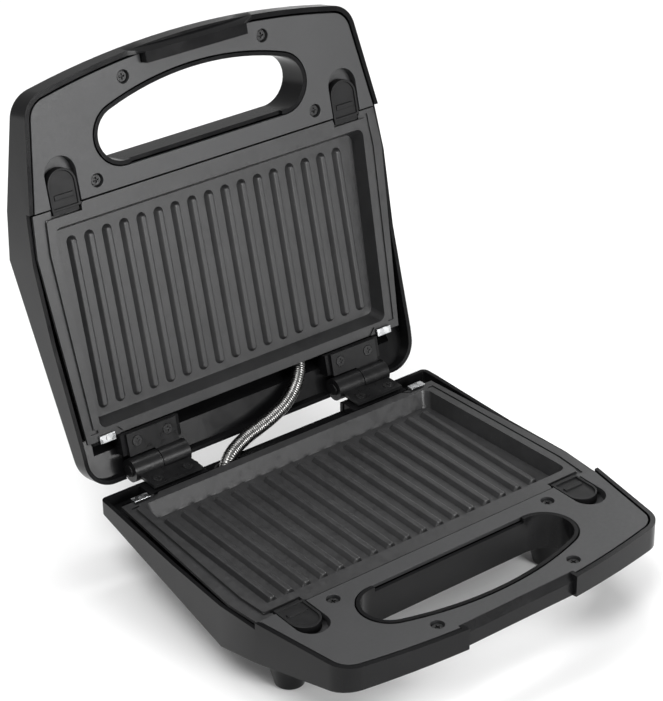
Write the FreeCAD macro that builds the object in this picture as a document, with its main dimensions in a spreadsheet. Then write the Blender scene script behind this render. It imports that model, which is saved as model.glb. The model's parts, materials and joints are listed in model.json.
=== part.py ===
import FreeCAD, Part
import math
import os
import re
import Sketcher

# Panini press: a base and a lid of the same outline, joined by two butt hinges.
#
# Each half is drawn in its own half frame. x runs across, y runs back from the hinge axis (so the
# front is negative), and z is the depth below the parting plane where the two halves meet.
# Placing a half turns its frame over for the base, or back by the opening angle for the lid.

# Driving sizes in mm. "front" sizes are distances forward of the hinge axis, "depth" sizes are
# distances from the parting plane, and "half" sizes are measured from the middle plane.
SIZES = {
    # where the halves stand
    "hinge_height": 64.0,
    "frame_shift": 87.6,
    "open_angle": 103.4,
    "base_turn": 180.0,
    # plan outline of a half
    "rear_half": 127.2,
    "shoulder_half": 132.5,
    "shoulder_front": 141.0,
    "waist_half": 130.3,
    "waist_front": 172.0,
    "corner_half": 119.4,
    "corner_front": 238.6,
    "front_arc": 530.0,
    "corner_round": 17.0,
    "lid_rear_back": 5.0,
    "lid_rear_round": 19.0,
    "base_rear_front": 9.0,
    "base_rear_round": 4.0,
    # side profile of a half
    "shell_wall": 2.6,
    "profile_back": 12.0,
    "profile_back_depth": 9.8,
    "shoulder_depth": 36.0,
    "profile_front": 262.0,
    "profile_front_depth": 15.4,
    "panel_rim_depth": 3.4,
    "plate_rim_depth": 7.7,
    "plate_rim_front": 90.0,
    "rear_rim_front": 20.0,
    "lid_rear_rim_depth": 2.0,
    "base_rear_rim_depth": 4.6,
    "open_above": 20.0,
    # belly of a half, deeper than its side profile
    "belly_half": 106.0,
    "belly_front": 158.0,
    "belly_rear_front": 22.5,
    "belly_round": 16.0,
    "belly_top": 9.0,
    "lid_belly_depth": 40.0,
    "lid_belly_draft": 25.0,
    "base_belly_depth": 50.0,
    "base_belly_draft": 18.0,
    # handle opening: a straight rear edge, full round ends and a long front arc
    "hole_rear": 183.5,
    "hole_end_round": 19.9,
    "hole_arc_front": 28.0,
    "hole_arc": 205.0,
    "hole_gap": 0.8,
    "hole_collar": 2.4,
    "collar_step_depth": 6.4,
    "collar_step_half": 56.5,
    # front lip of the lid and the notch of the base that it drops over
    "notch_half": 40.3,
    "notch_front": 247.4,
    "notch_top_front": 244.2,
    "notch_chamfer_depth": 8.6,
    "lip_half": 37.0,
    "lip_bar_rear_front": 240.9,
    "lip_bar_front": 247.6,
    "lip_drop": 2.8,
    "lip_top_half": 34.5,
    "lip_foot_half": 50.8,
    "lip_foot_front": 251.7,
    "lip_foot_depth": 6.0,
    "lip_rear_front": 247.2,
    # front panel
    "panel_depth": 3.7,
    "panel_thick": 2.5,
    "panel_inset": 3.7,
    "panel_rear": 171.6,
    "base_panel_setback": 244.0,
    "lid_panel_setback": 240.7,
    # panel screws and their posts
    "screw_front_half": 51.2,
    "screw_front_front": 235.8,
    "screw_rear_half": 81.4,
    "screw_rear_front": 180.1,
    "screw_head": 3.25,
    "screw_head_high": 2.2,
    "screw_shank": 1.7,
    "screw_length": 9.0,
    "screw_play": 0.1,
    "screw_bore_room": 0.9,
    "screw_seat_depth": 7.6,
    "screw_boss": 5.6,
    "screw_boss_depth": 9.0,
    "post_radius": 4.6,
    "cross_slot": 0.9,
    "cross_reach": 1.9,
    "cross_deep": 1.3,
    # grill plate
    "plate_top": 4.6,
    "rim_front_half": 119.4,
    "rim_shoulder_half": 120.9,
    "rim_rear_half": 115.6,
    "rim_rear_front": 24.4,
    "plate_front": 170.4,
    "plate_rear_front": 23.4,
    "flange_depth": 5.4,
    "flange_thick": 2.0,
    "flange_front_half": 127.3,
    "flange_shoulder_half": 129.6,
    "flange_shoulder_front": 145.0,
    "flange_rear_half": 121.1,
    "well_front_half": 116.0,
    "well_rear_half": 110.7,
    "well_front": 159.4,
    "well_rear_front": 30.8,
    "floor_front_half": 113.9,
    "floor_rear_half": 108.6,
    "floor_front": 155.0,
    "floor_rear_front": 34.4,
    "well_round": 5.0,
    "well_depth": 15.4,
    "plate_wall": 2.2,
    "rib_half": 3.5,
    "rib_pitch": 12.5,
    "rib_count": 17.0,
    "rib_high": 3.0,
    "rib_draft": 32.0,
    "rib_front": 149.6,
    "rib_rear_front": 39.0,
    "tab_notch_inner": 95.2,
    "tab_notch_slope": 101.0,
    "tab_notch_front": 31.0,
    "rim_round": 2.2,
    "groove_wide": 2.4,
    "groove_deep": 1.0,
    "rib_round": 1.2,
    # latches
    "latch_half": 104.9,
    "latch_wide": 9.9,
    "latch_rear": 169.2,
    "latch_tip": 194.0,
    "latch_top": 3.9,
    "latch_rim": 1.5,
    "latch_dish": 1.1,
    "latch_grip_front": 175.6,
    "latch_grip_wide": 6.6,
    "latch_grip_long": 3.0,
    "latch_grip_high": 0.9,
    "latch_travel": 6.5,
    "latch_gap": 0.8,
    "latch_play": 0.3,
    "latch_nose_reach": 166.6,
    "latch_nose_top": 5.1,
    "latch_nose_bottom": 7.7,
    "latch_nose_wide": 9.0,
    "latch_rail": 1.6,
    "latch_rail_top": 7.4,
    "tray_floor": 9.8,
    "tray_thick": 1.6,
    "tray_wall": 2.4,
    "ledge_depth": 8.0,
    "ledge_thick": 2.0,
    "ledge_half": 10.4,
    "ledge_rear": 165.4,
    "spring_groove": 2.7,
    "spring_groove_front": 190.0,
    "spring_groove_bottom": 13.9,
    "peg_front": 174.2,
    "peg_long": 2.4,
    "spring_coil": 1.5,
    "spring_wire": 0.35,
    "spring_turns": 7.0,
    # hinges
    "hinge_half": 78.8,
    "hinge_gap": 0.25,
    "knuckle_radius": 7.5,
    "knuckle_long": 20.4,
    "leaf_half": 18.0,
    "leaf_depth": 0.4,
    "leaf_thick": 2.0,
    "leaf_front": 22.9,
    "leaf_clear": 0.9,
    "hinge_block_half": 21.4,
    "hinge_block_rear_front": 9.3,
    "barrel_room": 0.9,
    "pin_radius": 3.0,
    "pin_play": 0.05,
    "pin_head": 4.0,
    "pin_head_long": 1.0,
    "hinge_screw_half": 11.2,
    "hinge_screw_front": 16.8,
    "hinge_screw_sink": 0.3,
    # plate carrier, tabs, heater and what is under the plate
    "carrier_thick": 1.4,
    "carrier_inset": 2.0,
    "stand_radius": 3.0,
    "stand_half": 121.9,
    "stand_step": 1.95,
    "tab_half": 107.7,
    "tab_wide": 5.6,
    "tab_thick": 1.2,
    "tab_top": 3.4,
    "tab_front": 26.6,
    "tab_rear_front": 21.6,
    "tab_seat_depth": 11.0,
    "tab_seat_half": 7.0,
    "tab_seat_long": 2.4,
    "heater_radius": 3.25,
    "heater_gap": 0.3,
    "heater_half": 84.0,
    "heater_front": 140.0,
    "heater_rear_front": 58.0,
    "heater_bend": 16.0,
    "heater_leg_half": 24.0,
    "heater_leg_front": 112.0,
    "reflector_gap": 2.5,
    "reflector_thick": 0.8,
    "reflector_half": 98.0,
    "reflector_front": 150.0,
    "reflector_rear_front": 44.0,
    "reflector_rim": 3.0,
    "thermostat_radius": 8.0,
    "thermostat_high": 7.0,
    "thermostat_half": 50.0,
    "thermostat_front": 99.0,
    "fuse_radius": 2.0,
    "fuse_long": 11.0,
    "block_long": 34.0,
    "block_wide": 14.0,
    "block_high": 10.0,
    "block_front": 70.0,
    # wiring passage behind the plates
    "duct_half": 52.0,
    "duct_front": 40.0,
    "duct_rear_front": 9.4,
    "duct_top": 11.5,
    "duct_depth": 34.0,
    "open_rear_front": 22.6,
    "open_rear_half": 56.6,
    "conduit_radius": 4.5,
    "grommet_room": 0.5,
    "grommet_wall": 0.8,
    "grommet_flange": 0.9,
    "grommet_over": 0.6,
    "conduit_base_x": 42.0,
    "conduit_base_front": 18.8,
    "conduit_lid_x": 46.0,
    "conduit_lid_front": 27.4,
    "conduit_base_start": 20.0,
    "conduit_base_turn": 7.0,
    "conduit_lid_turn": 16.5,
    "conduit_lid_end": 26.0,
    "conduit_bend_share": 0.45,
    "lid_shelf_depth": 21.5,
    "lid_shelf_half": 9.0,
    "lid_shelf_rear_front": 17.6,
    "lid_shelf_front": 36.0,
    "lid_shelf_thick": 2.4,
    "gland_x": 26.0,
    "gland_depth": 24.0,
    "gland_radius": 6.0,
    "gland_collar": 8.0,
    "gland_collar_long": 2.0,
    "gland_inner": 8.0,
    "gland_outer": 6.5,
    "gland_bore": 3.4,
    # legs of the base
    "front_leg_half": 100.0,
    "front_leg_front": 162.0,
    "rear_leg_half": 86.0,
    "rear_leg_front": 28.0,
    "leg_foot": 9.0,
    "leg_root": 17.0,
    "rear_leg_root": 12.0,
    "front_leg_sink": 5.4,
    "rear_leg_top": 34.0,
    "leg_clear": 1.0,
    "pad_radius": 6.5,
    "pad_thick": 2.5,
    # indicator lamps on the lid
    "lamp_half": 9.0,
    "lamp_front": 175.0,
    "lamp_radius": 3.0,
    "lamp_inner": 26.0,
    "lamp_outer": 31.4,
}

# Expressions that several pieces share
LEG_END = "hinge_height - leg_clear"
LEAF_REAR = "-knuckle_radius - leaf_clear"
PLATE_SEAT = "flange_depth + flange_thick"
UNDER_WELL = "well_depth + plate_wall"
REFLECTOR_TOP = f"{UNDER_WELL} + heater_gap + 2 * heater_radius + reflector_gap"
GROMMET_OUTER = "conduit_radius + grommet_room + grommet_wall"

# The conduit's chosen points between its two grommets: three from the middle of the hinge axis, and
# one in the lid's half frame
CONDUIT_OVER_HINGE = ((-20.0, -8.0, -3.6), (2.0, -4.6, -0.6), (24.0, 1.2, 4.6))
CONDUIT_OVER_LID_RIM = (40.0, -16.5, 8.0)

STANDS = 3
UPRIGHT = 0.999
SAME_DEPTH = 1e-6
VOLUME_SHARE = 0.01
HALVES = ("base", "lid")
SIDES = {"left": -1, "right": 1}
V = FreeCAD.Vector
ACROSS = V(1, 0, 0)
ALONG = V(0, 1, 0)
DEEP = V(0, 0, 1)

doc = FreeCAD.newDocument("panini_press")
sheet = doc.addObject("Spreadsheet::Sheet", "Sizes")
for row, (alias, size) in enumerate(SIZES.items(), start=1):
    sheet.set(f"A{row}", alias)
    sheet.set(f"B{row}", str(size))
    sheet.setAlias(f"B{row}", alias)
doc.recompute()

nodes = []


# ---------------------------------------------------------------- helpers


def bound(text):
    """The expression with each alias read from the sheet."""
    return re.sub(r"[a-z][a-z_]+", lambda word: f"Sizes.{word[0]}" if word[0] in SIZES else word[0], text)


def value(text):
    """The number that an expression gives now."""
    return float(sheet.evalExpression(bound(text)))


def bind(obj, prop, size):
    """Bind a property of obj to an expression, or set it when size is a plain number."""
    if isinstance(size, str):
        obj.setExpression(prop, bound(size))
    else:
        setattr(obj, prop, size)


def add(kind, name):
    return doc.addObject(kind, name)


def at(obj, x="0", y="0", z="0", turn=None):
    """Place a primitive in the half frame, with its place bound to the sheet."""
    rotation = turn or FreeCAD.Rotation()
    obj.Placement = FreeCAD.Placement(V(value(x), value(y), value(z)), rotation)
    for axis, size in zip("xyz", (x, y, z)):
        obj.setExpression(f"Placement.Base.{axis}", bound(size))
    return obj


def box(name, x, y, z):
    """A box between two bounds on each axis, each bound an expression."""
    obj = add("Part::Box", name)
    for prop, (low, high) in zip(("Length", "Width", "Height"), (x, y, z)):
        bind(obj, prop, f"({high}) - ({low})")
    return at(obj, x[0], y[0], z[0])


def cylinder(name, radius, long, x="0", y="0", z="0", turn=None):
    obj = add("Part::Cylinder", name)
    bind(obj, "Radius", radius)
    bind(obj, "Height", long)
    return at(obj, x, y, z, turn)


def cone(name, root, tip, long, x, y, z):
    obj = add("Part::Cone", name)
    bind(obj, "Radius1", root)
    bind(obj, "Radius2", tip)
    bind(obj, "Height", long)
    return at(obj, x, y, z)


def cut(name, base, tools):
    tool = tools[0] if len(tools) == 1 else fuse(f"{name}_tools", tools)
    obj = add("Part::Cut", name)
    obj.Base = base
    obj.Tool = tool
    return obj


def fuse(name, pieces):
    obj = add("Part::MultiFuse", name)
    obj.Shapes = pieces
    obj.Refine = True
    return obj


def common(name, pieces):
    obj = add("Part::MultiCommon", name)
    obj.Shapes = pieces
    return obj


def group(name, pieces):
    obj = add("Part::Compound", name)
    obj.Links = pieces
    return obj


def feature(name, shape):
    obj = add("Part::Feature", name)
    obj.Shape = shape
    return obj


ALONG_X = FreeCAD.Rotation(ALONG, 90)
ALONG_Y = FreeCAD.Rotation(ACROSS, -90)


def place_half(obj, half):
    """Turn a finished piece from the half frame into the press's own frame."""
    if half == "base":
        obj.Placement = FreeCAD.Placement(V(), FreeCAD.Rotation(ALONG, value("base_turn")))
    if half == "lid":
        obj.Placement = FreeCAD.Placement(V(), FreeCAD.Rotation(ACROSS, -value("open_angle")))
    obj.setExpression("Placement.Base.y", bound("frame_shift"))
    obj.setExpression("Placement.Base.z", bound("hinge_height"))


def node(label, obj, half):
    """Name a finished piece and put it in its place."""
    obj.Label = label
    place_half(obj, half)
    nodes.append(obj)
    return obj


# ---------------------------------------------------------------- sketches and bodies


def sketch_on(body, name, role, offset="0"):
    """A sketch on one of the body's own origin planes, moved off it by offset."""
    plane = next(item for item in body.Origin.OriginFeatures if item.Role == role)
    sketch = body.newObject("Sketcher::SketchObject", name)
    sketch.AttachmentSupport = (plane, [""])
    sketch.MapMode = "FlatFace"
    sketch.setExpression("AttachmentOffset.Base.z", bound(offset))
    return sketch


def hold(sketch, kind, *refs, size=None):
    """Add a constraint, with its size bound to the sheet when it has one."""
    if size is None:
        sketch.addConstraint(Sketcher.Constraint(kind, *refs))
        return
    index = sketch.addConstraint(Sketcher.Constraint(kind, *refs, value(size)))
    sketch.setExpression(f"Constraints[{index}]", bound(size))


def hold_point(sketch, element, point, x, y):
    """Fix one point of an element by its distances from the sketch's origin."""
    if x == "0":
        hold(sketch, "PointOnObject", element, point, -2)
    else:
        hold(sketch, "DistanceX", -1, 1, element, point, size=x)
    if y == "0":
        hold(sketch, "PointOnObject", element, point, -1)
    else:
        hold(sketch, "DistanceY", -1, 1, element, point, size=y)


def polygon(sketch, corners):
    """A closed outline. A corner is (x, y), or (x, y, radius) when the edge that leaves it is an arc
    which bulges to the right of its direction."""
    spots = [V(value(corner[0]), value(corner[1]), 0) for corner in corners]
    count = len(corners)
    first = sketch.GeometryCount
    for index, corner in enumerate(corners):
        start, end = spots[index], spots[(index + 1) % count]
        if len(corner) == 3:
            radius = value(corner[2])
            half = (end - start) * 0.5
            inward = V(-half.y, half.x, 0).normalize() * math.sqrt(radius**2 - half.Length**2)
            centre = start + half + inward
            angles = [math.atan2(spot.y - centre.y, spot.x - centre.x) for spot in (start, end)]
            circle = Part.Circle(centre, DEEP, radius)
            sketch.addGeometry(Part.ArcOfCircle(circle, angles[0], angles[1]))
        else:
            sketch.addGeometry(Part.LineSegment(start, end))
    for index, corner in enumerate(corners):
        following = (index + 1) % count
        hold(sketch, "Coincident", first + index, 2, first + following, 1)
        hold_point(sketch, first + index, 1, corner[0], corner[1])
        if len(corner) == 3:
            hold(sketch, "Radius", first + index, size=corner[2])
    return sketch


def rectangle(sketch, x, y):
    return polygon(sketch, [(x[0], y[0]), (x[1], y[0]), (x[1], y[1]), (x[0], y[1])])


def arch(sketch, middle, half, rear, tip):
    """A tongue outline: straight rear edge, straight sides and a half-round front tip."""
    x, r = value(middle), value(half)
    back, nose = -value(rear), -value(tip)
    centre = V(x, nose + r, 0)
    left, right = V(x - r, centre.y, 0), V(x + r, centre.y, 0)
    rear_left, rear_right = V(x - r, back, 0), V(x + r, back, 0)
    sketch.addGeometry(Part.LineSegment(rear_left, rear_right))
    sketch.addGeometry(Part.LineSegment(rear_right, right))
    sketch.addGeometry(Part.ArcOfCircle(Part.Circle(centre, DEEP, r), math.pi, 2 * math.pi))
    sketch.addGeometry(Part.LineSegment(left, rear_left))
    hold(sketch, "Coincident", 0, 2, 1, 1)
    hold(sketch, "Coincident", 3, 2, 0, 1)
    hold(sketch, "Tangent", 1, 2, 2, 2)
    hold(sketch, "Tangent", 3, 1, 2, 1)
    hold(sketch, "Horizontal", 0)
    hold(sketch, "Vertical", 1)
    hold(sketch, "Vertical", 3)
    hold(sketch, "Radius", 2, size=half)
    hold(sketch, "DistanceX", -1, 1, 2, 3, size=middle)
    hold(sketch, "DistanceY", -1, 1, 2, 3, size=f"({half}) - ({tip})")
    hold(sketch, "DistanceY", -1, 1, 0, 1, size=f"-({rear})")
    return sketch


def slot(sketch, middle, half, rear, front):
    """A round-ended slot along y."""
    x, r = value(middle), value(half)
    high, low = V(x, r - value(rear) - 2 * r, 0), V(x, r - value(front), 0)
    side = V(r, 0, 0)
    sketch.addGeometry(Part.ArcOfCircle(Part.Circle(high, DEEP, r), 0, math.pi))
    sketch.addGeometry(Part.LineSegment(high - side, low - side))
    sketch.addGeometry(Part.ArcOfCircle(Part.Circle(low, DEEP, r), math.pi, 2 * math.pi))
    sketch.addGeometry(Part.LineSegment(low + side, high + side))
    hold(sketch, "Tangent", 0, 2, 1, 1)
    hold(sketch, "Tangent", 1, 2, 2, 1)
    hold(sketch, "Tangent", 2, 2, 3, 1)
    hold(sketch, "Tangent", 3, 2, 0, 1)
    hold(sketch, "Vertical", 1)
    hold(sketch, "Equal", 0, 2)
    hold(sketch, "Radius", 0, size=half)
    hold_point(sketch, 0, 3, middle, f"-({rear}) - ({half})")
    hold(sketch, "DistanceY", -1, 1, 2, 3, size=f"({half}) - ({front})")
    return sketch


def handle_outline(sketch, inset):
    """The handle opening's outline, moved inward by inset. Its arcs stay concentric."""
    end_round = value(f"hole_end_round - ({inset})")
    long_arc = value(f"hole_arc - ({inset})")
    rear = -value(f"hole_rear + ({inset})")
    arc_centre = V(0, -value("hole_arc_front"), 0)
    end_y = rear - end_round
    end_x = math.sqrt((long_arc - end_round) ** 2 - (end_y - arc_centre.y) ** 2)
    dip = math.atan2(end_y - arc_centre.y, end_x)
    right, left = V(end_x, end_y, 0), V(-end_x, end_y, 0)
    quarter = math.pi / 2
    sketch.addGeometry(Part.LineSegment(V(-end_x, rear, 0), V(end_x, rear, 0)))
    sketch.addGeometry(Part.ArcOfCircle(Part.Circle(right, DEEP, end_round), dip, quarter))
    sketch.addGeometry(Part.ArcOfCircle(Part.Circle(left, DEEP, end_round), quarter, math.pi - dip))
    sketch.addGeometry(Part.ArcOfCircle(Part.Circle(arc_centre, DEEP, long_arc), math.pi - dip, dip))
    hold(sketch, "Tangent", 0, 2, 1, 2)
    hold(sketch, "Tangent", 0, 1, 2, 1)
    hold(sketch, "Tangent", 3, 1, 2, 2)
    hold(sketch, "Tangent", 3, 2, 1, 1)
    hold(sketch, "Horizontal", 0)
    hold(sketch, "Equal", 1, 2)
    hold(sketch, "DistanceY", -1, 1, 0, 1, size=f"-(hole_rear + ({inset}))")
    hold(sketch, "Radius", 1, size=f"hole_end_round - ({inset})")
    hold(sketch, "Radius", 3, size=f"hole_arc - ({inset})")
    hold_point(sketch, 3, 3, "0", "-hole_arc_front")
    return sketch


def extrude(body, sketch, length, kind="Pad", draft=None, backward=False, middle=False):
    """A pad or pocket of one sketch. Forward is away from the parting plane on an XY sketch."""
    before = body.Shape.Volume if body.Tip else 0.0
    step = body.newObject(f"PartDesign::{kind}", f"{sketch.Name}_{kind.lower()}")
    step.Profile = sketch
    bind(step, "Length", length)
    step.Reversed = backward
    if middle:
        step.Midplane = True
    if draft is not None:
        bind(step, "TaperAngle", draft)
    sketch.Visibility = False
    body.Tip = step
    doc.recompute()
    grew = body.Shape.Volume - before
    if (grew > 0) != (kind == "Pad"):
        raise RuntimeError(f"{step.Name} changed nothing: {grew:.3f} mm3")
    return step


def round_edges(body, radius, wanted):
    """Fillet the edges of the body's tip that wanted(edge) picks."""
    doc.recompute()
    tip = body.Tip
    names = [f"Edge{i}" for i, edge in enumerate(tip.Shape.Edges, start=1) if wanted(edge)]
    if not names:
        raise RuntimeError(f"no edges to round on {body.Name}")
    step = body.newObject("PartDesign::Fillet", f"{body.Name}_round{len(body.Group)}")
    step.Base = (tip, names)
    bind(step, "Radius", radius)
    body.Tip = step
    doc.recompute()
    return step


def stands(edge):
    """True for a straight edge along the depth."""
    return len(edge.Vertexes) == 2 and abs(edge.tangentAt(edge.FirstParameter).z) > UPRIGHT


def stands_beyond(front):
    """Picks the standing edges further forward than front."""
    return lambda edge: stands(edge) and edge.BoundBox.YMax < -value(front)


def stands_behind(front):
    """Picks the standing edges further back than front."""
    return lambda edge: stands(edge) and edge.BoundBox.YMin > -value(front)


def lies_at(depth):
    """Picks every edge that lies in the plane at this depth."""

    def lies(edge):
        bounds = edge.BoundBox
        return abs(bounds.ZMin - value(depth)) < SAME_DEPTH and bounds.ZLength < SAME_DEPTH

    return lies


def prism(name, draw, start, length, **options):
    """A body that is one pad of an outline drawn by draw(sketch) at depth start."""
    body = add("PartDesign::Body", name)
    outline = sketch_on(body, f"{name}_outline", "XY_Plane", start)
    draw(outline)
    extrude(body, outline, length, **options)
    return body


def across(name, corners, width):
    """A body of constant side profile, as wide as width and centred on the middle plane."""
    body = add("PartDesign::Body", name)
    profile = sketch_on(body, f"{name}_profile", "YZ_Plane")
    polygon(profile, corners)
    extrude(body, profile, width, middle=True)
    return body


def tube(points, radius, bend):
    """A round bar along straight runs that are joined by tangent arcs. bend gives each corner's arc
    radius from its two run lengths and its half turn."""
    route = []
    start = points[0]
    radii = []
    for before, corner, after in zip(points, points[1:], points[2:]):
        incoming = (corner - before).normalize()
        outgoing = (after - corner).normalize()
        half_turn = incoming.getAngle(outgoing) / 2
        arc_radius = bend((corner - before).Length, (after - corner).Length, half_turn)
        reach = arc_radius * math.tan(half_turn)
        enter, leave = corner - incoming * reach, corner + outgoing * reach
        toward = (outgoing - incoming).normalize()
        centre = corner + toward * (arc_radius / math.cos(half_turn))
        middle = centre - toward * arc_radius
        route.append(Part.LineSegment(start, enter).toShape())
        route.append(Part.Arc(enter, middle, leave).toShape())
        radii.append(arc_radius)
        start = leave
    route.append(Part.LineSegment(start, points[-1]).toShape())
    wire = Part.Wire(route)
    ring = Part.Wire(Part.makeCircle(radius, points[0], points[1] - points[0]))
    bar = wire.makePipeShell([ring], True, False)
    expected = math.pi * radius**2 * wire.Length
    if abs(bar.Volume - expected) > expected * VOLUME_SHARE:
        raise RuntimeError(f"bar volume {bar.Volume:.1f} is not {expected:.1f}")
    return bar, radii, wire.Length


# ---------------------------------------------------------------- shells


def half_outline(half, inset="0"):
    """Corners of a half's plan outline, moved inward by inset."""
    rear = "lid_rear_back" if half == "lid" else "-base_rear_front"
    ends = {
        "rear": (f"rear_half - ({inset})", f"{rear} - ({inset})"),
        "shoulder": (f"shoulder_half - ({inset})", "-shoulder_front"),
        "waist": (f"waist_half - ({inset})", "-waist_front"),
        "corner": (f"corner_half - ({inset})", f"({inset}) - corner_front"),
    }
    right = [ends[key] for key in ("corner", "waist", "shoulder", "rear")]
    left = [(f"-({x})", y) for x, y in reversed(right)]
    left[-1] = (*left[-1], f"front_arc - ({inset})")
    return right + left


def outline_body(name, half, inset, start, length):
    """The plan outline as a deep prism with its corners rounded."""
    rear_round = "lid_rear_round" if half == "lid" else "base_rear_round"
    body = prism(name, lambda sketch: polygon(sketch, half_outline(half, inset)), start, length)
    round_edges(body, f"corner_round - ({inset})", stands_beyond("waist_front + corner_round"))
    round_edges(body, f"{rear_round} - ({inset})", stands_behind("shoulder_front / 2"))
    return body


def side_profile(half):
    """Corners (y, depth) of the outer side profile, from the rear rim round to the front rim."""
    rear_rim = f"{half}_rear_rim_depth"
    return [
        ("profile_back", rear_rim),
        ("profile_back", "profile_back_depth"),
        ("-shoulder_front", "shoulder_depth"),
        ("-profile_front", "profile_front_depth"),
        ("-profile_front", "panel_rim_depth"),
        ("-waist_front", "panel_rim_depth"),
        ("-waist_front", "plate_rim_depth"),
        ("-plate_rim_front", "plate_rim_depth"),
        ("-rear_rim_front", rear_rim),
    ]


def cavity_profile():
    """Corners (y, depth) of the hollow inside the side profile, open above the rim."""
    return [
        ("profile_back", "-open_above"),
        ("profile_back", "profile_back_depth - shell_wall"),
        ("-shoulder_front", "shoulder_depth - shell_wall"),
        ("-profile_front", "profile_front_depth - shell_wall"),
        ("-profile_front", "-open_above"),
    ]


def belly(name, half, inset):
    """The drafted bulge below the side profile, moved inward by inset."""
    x = f"belly_half - ({inset})"
    y = (f"({inset}) - belly_front", f"-belly_rear_front - ({inset})")
    body = add("PartDesign::Body", name)
    outline = sketch_on(body, f"{name}_outline", "XY_Plane", f"{half}_belly_depth - ({inset})")
    rectangle(outline, (f"-({x})", x), y)
    length = f"{half}_belly_depth - ({inset}) - belly_top"
    extrude(body, outline, length, draft=f"{half}_belly_draft", backward=True)
    return body


def handle_prism(name, inset, start, length):
    return prism(name, lambda sketch: handle_outline(sketch, inset), start, length)


def screw_places():
    """The four panel screws: x and y of each."""
    return [
        (f"{sign}screw_{row}_half", f"-screw_{row}_front") for row in ("front", "rear") for sign in ("", "-")
    ]


def shell_posts(half, outside):
    """Posts under the panel screws and stands under the plate carrier, cut to the shell's outside."""
    posts = [
        cylinder(f"{half}_post{i}", "post_radius", "shoulder_depth", x, y, "screw_boss_depth")
        for i, (x, y) in enumerate(screw_places())
    ]
    seat = f"{PLATE_SEAT} + carrier_thick"
    for i in range(STANDS):
        y = f"-shoulder_front * {STANDS - i} / {STANDS}"
        for side, sign in SIDES.items():
            x = f"{sign} * (stand_half - {i} * stand_step)"
            posts.append(cylinder(f"{half}_stand_{side}{i}", "stand_radius", "shoulder_depth", x, y, seat))
    return common(f"{half}_posts", [fuse(f"{half}_posts_all", posts), outside])


def hinge_blocks(half, outside):
    """Blocks that carry the hinge leaves, and seats for the plate tabs."""
    blocks = []
    for side, sign in SIDES.items():
        x = f"{sign} * hinge_half"
        blocks.append(
            box(
                f"{half}_hinge_block_{side}",
                (f"{x} - hinge_block_half", f"{x} + hinge_block_half"),
                ("-leaf_front", "-hinge_block_rear_front"),
                ("leaf_depth + leaf_thick", "shoulder_depth"),
            )
        )
        tab = f"{sign} * tab_half"
        blocks.append(
            box(
                f"{half}_tab_seat_{side}",
                (f"{tab} - tab_seat_half", f"{tab} + tab_seat_half"),
                ("-tab_rear_front - tab_seat_long", "-tab_rear_front + tab_seat_long"),
                ("tab_seat_depth", "shoulder_depth"),
            )
        )
    return common(f"{half}_rear_blocks", [fuse(f"{half}_blocks", blocks), outside])


def lid_lip():
    """The ridge at the lid's front: a chamfered wedge, and the bar that drops into the base's notch."""
    wedge = add("Part::Wedge", "lid_lip_wedge")
    bind(wedge, "Ymin", "-lip_drop")
    bind(wedge, "Ymax", "lip_foot_depth")
    bind(wedge, "Xmin", "-lip_top_half")
    bind(wedge, "Xmax", "lip_top_half")
    bind(wedge, "Zmin", "lip_rear_front")
    bind(wedge, "Zmax", "lip_bar_front")
    bind(wedge, "X2min", "-lip_foot_half")
    bind(wedge, "X2max", "lip_foot_half")
    bind(wedge, "Z2min", "lip_rear_front")
    bind(wedge, "Z2max", "lip_foot_front")
    wedge.Placement = FreeCAD.Placement(V(), FreeCAD.Rotation(ACROSS, 90))
    limit = outline_body("lid_lip_limit", "lid", "0", "-lip_drop", "lip_drop + lip_foot_depth")
    lip = common("lid_lip", [wedge, limit])
    bar = box(
        "lid_lip_bar",
        ("-lip_half", "lip_half"),
        ("-lip_bar_front", "-lip_bar_rear_front"),
        ("-lip_drop", "panel_depth + panel_thick"),
    )
    return fuse("lid_lip_all", [lip, bar])


def base_front_notch(shell, outside):
    """The notch at the base's front: a thick wall, set back and chamfered where the lip drops in."""
    backing = box(
        "base_notch_backing",
        ("-notch_half - shell_wall", "notch_half + shell_wall"),
        ("-profile_front", "-notch_top_front + shell_wall / 2"),
        ("panel_depth + panel_thick", "shoulder_depth"),
    )
    ledge = box(
        "base_notch_ledge",
        ("-notch_half - shell_wall", "notch_half + shell_wall"),
        ("-profile_front", "-base_panel_setback - latch_play"),
        ("panel_depth", "shoulder_depth"),
    )
    inside = common("base_notch_wall", [fuse("base_notch_blank", [backing, ledge]), outside])
    opening = box(
        "base_notch_cut",
        ("-notch_half", "notch_half"),
        ("-profile_front", "-notch_front"),
        ("-open_above", "shoulder_depth"),
    )
    slope = across(
        "base_notch_slope",
        [
            ("-notch_top_front", "panel_depth"),
            ("-notch_top_front", "-open_above"),
            ("-profile_front", "-open_above"),
            ("-profile_front", "notch_chamfer_depth"),
            ("-notch_front", "notch_chamfer_depth"),
        ],
        "2 * notch_half",
    )
    return cut("base_shell_notched", fuse("base_shell_front", [shell, inside]), [opening, slope])


def leg_places():
    """Each leg: name, x, y, root radius and the depth where it starts."""
    places = []
    rows = (
        ("front", "leg_root", "shoulder_depth - front_leg_sink"),
        ("rear", "rear_leg_root", "rear_leg_top"),
    )
    for side, sign in SIDES.items():
        for row, root, top in rows:
            places.append((f"{row}_{side}", f"{sign} * {row}_leg_half", f"-{row}_leg_front", root, top))
    return places


def base_underside(shell):
    """Legs with recesses for the foot pads."""
    legs = [
        cone(f"leg_{name}", root, "leg_foot", f"{LEG_END} - ({top})", x, y, top)
        for name, x, y, root, top in leg_places()
    ]
    seats = [
        cylinder(f"pad_seat_{name}", "pad_radius", "pad_thick", x, y, "hinge_height - pad_thick")
        for name, x, y, root, top in leg_places()
    ]
    return cut("base_shell_legs", fuse("base_shell_on_legs", [shell, *legs]), seats)


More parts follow.
